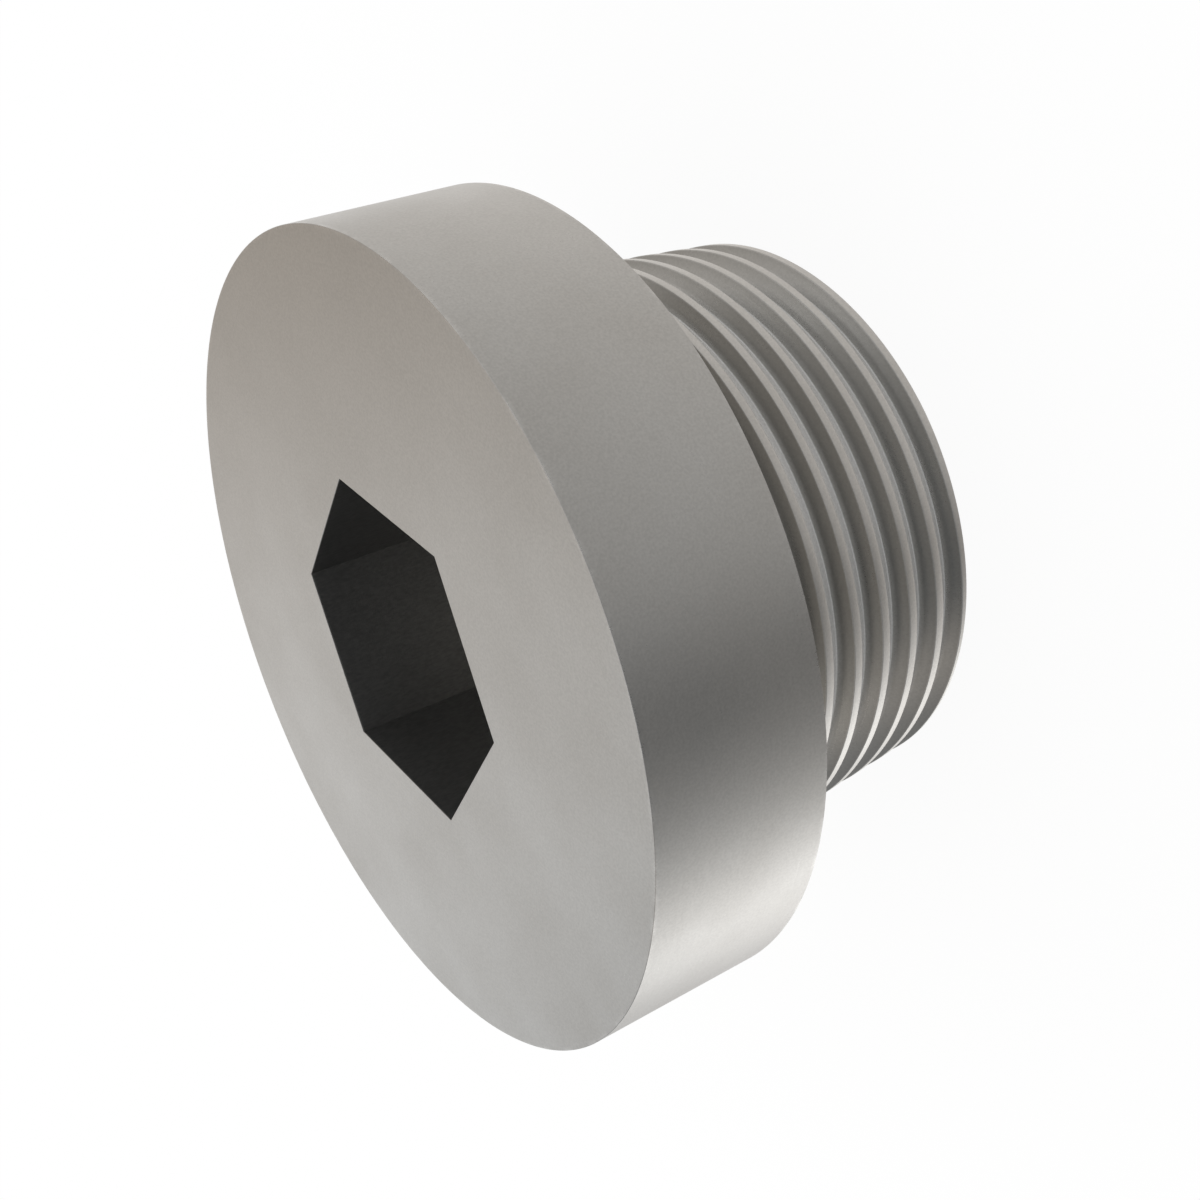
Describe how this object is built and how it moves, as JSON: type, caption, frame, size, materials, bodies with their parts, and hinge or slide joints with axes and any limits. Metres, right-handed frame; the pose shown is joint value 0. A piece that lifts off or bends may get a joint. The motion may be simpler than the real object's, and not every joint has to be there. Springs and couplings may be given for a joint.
{
  "type": "flush pipe plug",
  "caption": "One-piece steel pipe plug: a thick round flange with a hexagon key socket in its flat face, on a short tapered threaded stub.",
  "frame": {"origin": "centre of the stub's flat end face, on the plug's axis", "axes": "+Z along the axis from the end face to the flange's face, out of the socket's mouth; +X towards a corner of the hexagon socket"},
  "size_m": [0.039, 0.039, 0.0223],
  "materials": {
    "steel": "satin turned stainless steel"
  },
  "bodies": {
    "root": {"plug": "steel"}
  },
  "joints": []
}
